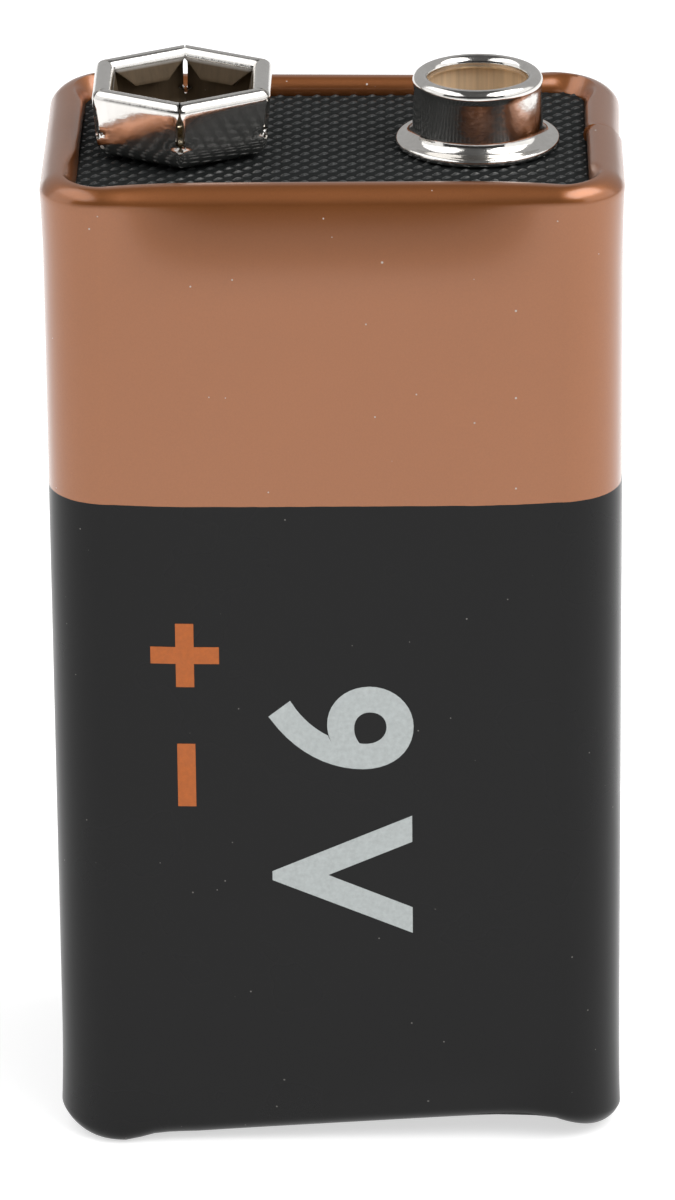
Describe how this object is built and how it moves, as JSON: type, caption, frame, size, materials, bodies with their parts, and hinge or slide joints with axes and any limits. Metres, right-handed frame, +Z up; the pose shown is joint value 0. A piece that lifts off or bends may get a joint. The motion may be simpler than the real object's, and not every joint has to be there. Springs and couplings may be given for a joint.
{
  "type": "nine volt battery",
  "caption": "Rectangular dry battery in a rolled steel jacket, with a petal snap socket and a round snap stud side by side on top.",
  "frame": {"origin": "on the ground under the middle of the battery, at the level of its four corner feet", "axes": "+Z up the battery's height, +X from the socket to the stud, the printed broad front looks along -Y"},
  "size_m": [0.0252, 0.0174, 0.0478],
  "materials": {
    "jacket": "copper lacquer over black lacquer, on thin steel sheet",
    "board": "black pressed board with an embossed weave",
    "nickel": "bright nickel plate with fine scratches",
    "eyelet": "tinned brass",
    "strip": "nickel-plated strip",
    "cell": "nickel-plated steel can",
    "card": "grey insulating card",
    "liner": "kraft paper tube"
  },
  "bodies": {
    "root": {"jacket": "jacket", "terminal_board": "board", "base_plate": "board", "negative_terminal": "nickel", "positive_terminal": "nickel", "negative_eyelet": "eyelet", "positive_eyelet": "eyelet", "negative_lead": "strip", "positive_lead": "strip", "cell_strip_1": "strip", "cell_strip_2": "strip", "cell_strip_3": "strip", "cell_strip_4": "strip", "cell_strip_5": "strip", "cell_1": "cell", "cell_2": "cell", "cell_3": "cell", "cell_4": "cell", "cell_5": "cell", "cell_6": "cell", "upper_card": "card", "lower_card": "card", "cell_liner": "liner"}
  },
  "joints": []
}
